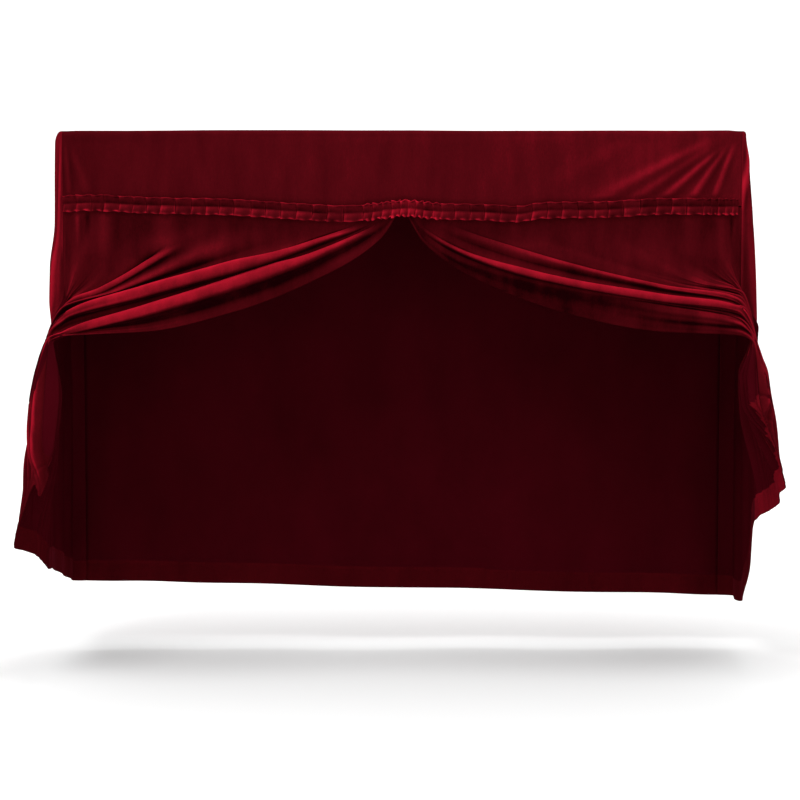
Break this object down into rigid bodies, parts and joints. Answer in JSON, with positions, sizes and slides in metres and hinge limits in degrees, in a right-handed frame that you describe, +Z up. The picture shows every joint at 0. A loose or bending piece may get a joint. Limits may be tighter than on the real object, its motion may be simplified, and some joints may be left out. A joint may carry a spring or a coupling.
{
  "type": "velvet cover for an upright piano",
  "caption": "Fitted velvet cover for an upright piano: flat top, front valance with a pleated band, and front curtains drawn back to the ends and falling outside them.",
  "frame": {"origin": "centre of the underside of the top panel, where it rests on the piano's lid", "axes": "+Z up, the front with its curtains faces -Y, +X along the piano's width"},
  "size_m": [1.6698, 0.6069, 1.088],
  "materials": {
    "velvet": "deep crimson velvet pile, matt face on, bright along the folds"
  },
  "bodies": {
    "root": {"top_panel": "velvet", "front_valance": "velvet", "ruffle_band": "velvet", "curtain_left": "velvet", "curtain_right": "velvet", "side_left": "velvet", "side_right": "velvet", "back_panel": "velvet"}
  },
  "joints": []
}
